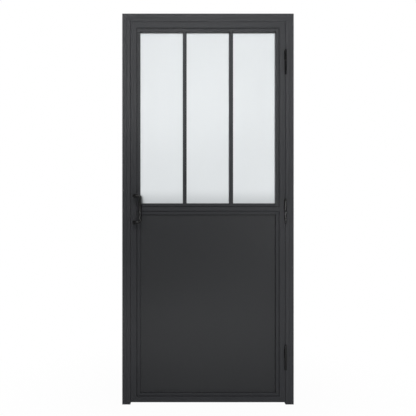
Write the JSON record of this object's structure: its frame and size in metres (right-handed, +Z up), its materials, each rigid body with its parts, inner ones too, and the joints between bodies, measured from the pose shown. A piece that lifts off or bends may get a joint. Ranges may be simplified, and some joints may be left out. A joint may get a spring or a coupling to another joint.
{
  "type": "interior door",
  "caption": "Hinged interior door in its frame: metal leaf with satin panes between upright bars over a solid lower panel, lift-off hinges and an offset pull handle on each face.",
  "frame": {"origin": "on the floor, halfway across the doorway and in the middle of the frame's depth", "axes": "+X towards the hinges, -Y towards the side that the leaf opens to, +Z up"},
  "size_m": [0.92, 0.148, 2.097],
  "materials": {
    "frame_coat": "fine matt powder coat, near-black grey",
    "leaf_coat": "fine matt powder coat, near-black grey",
    "bead_coat": "fine matt powder coat, near-black grey",
    "bar_coat": "fine matt powder coat, near-black grey",
    "panel_coat": "fine textured powder coat on flat sheet",
    "core_board": "wood-fibre board",
    "cleat_alloy": "as cast",
    "seal_rubber": "matt",
    "gasket_rubber": "matt",
    "satin_glass": "satin, translucent",
    "hinge_coat": "satin black coat on steel",
    "washer_nylon": "black nylon",
    "handle_coat": "satin black coat on steel",
    "bolt_steel": "zinc plated",
    "catch_housing": "matt black",
    "catch_steel": "zinc plated"
  },
  "bodies": {
    "frame": {"catch_magnet": "catch_housing", "frame_cleat_hinge": "cleat_alloy", "frame_cleat_lock": "cleat_alloy", "frame_head": "frame_coat", "hinge_frame_high": "hinge_coat", "hinge_frame_low": "hinge_coat", "hinge_frame_middle": "hinge_coat", "hinge_washer_high": "washer_nylon", "hinge_washer_low": "washer_nylon", "hinge_washer_middle": "washer_nylon", "jamb_hinge": "frame_coat", "jamb_lock": "frame_coat", "stop_head": "frame_coat", "stop_hinge": "frame_coat", "stop_lock": "frame_coat", "stop_seal_head": "seal_rubber", "stop_seal_hinge": "seal_rubber", "stop_seal_lock": "seal_rubber"},
    "leaf": {"bar_cover_left": "bar_coat", "bar_cover_right": "bar_coat", "catch_plate": "catch_steel", "glazing_bar_left": "bar_coat", "glazing_bar_right": "bar_coat", "glazing_bead_bottom": "bead_coat", "glazing_bead_hinge": "bead_coat", "glazing_bead_lock": "bead_coat", "glazing_bead_top": "bead_coat", "handle_back": "handle_coat", "handle_bolt_high": "bolt_steel", "handle_bolt_low": "bolt_steel", "handle_front": "handle_coat", "hinge_leaf_high": "hinge_coat", "hinge_leaf_low": "hinge_coat", "hinge_leaf_middle": "hinge_coat", "leaf_cleat_hinge_high": "cleat_alloy", "leaf_cleat_hinge_low": "cleat_alloy", "leaf_cleat_lock_high": "cleat_alloy", "leaf_cleat_lock_low": "cleat_alloy", "pane_gasket_left": "gasket_rubber", "pane_gasket_middle": "gasket_rubber", "pane_gasket_right": "gasket_rubber", "pane_left": "satin_glass", "pane_middle": "satin_glass", "pane_right": "satin_glass", "panel_bead_bottom": "bead_coat", "panel_bead_hinge": "bead_coat", "panel_bead_lock": "bead_coat", "panel_bead_top": "bead_coat", "panel_core": "core_board", "panel_gasket": "gasket_rubber", "panel_skin_back": "panel_coat", "panel_skin_front": "panel_coat", "rail_bottom": "leaf_coat", "rail_middle": "leaf_coat", "rail_top": "leaf_coat", "stile_hinge": "leaf_coat", "stile_lock": "leaf_coat"}
  },
  "joints": [
    {"name": "leaf_swing", "type": "hinge", "parent": "frame", "child": "leaf", "pos_m": [0.4155, -0.0435, 1.045], "axis": [0, 0, 1], "range_deg": [0, 170]}
  ]
}
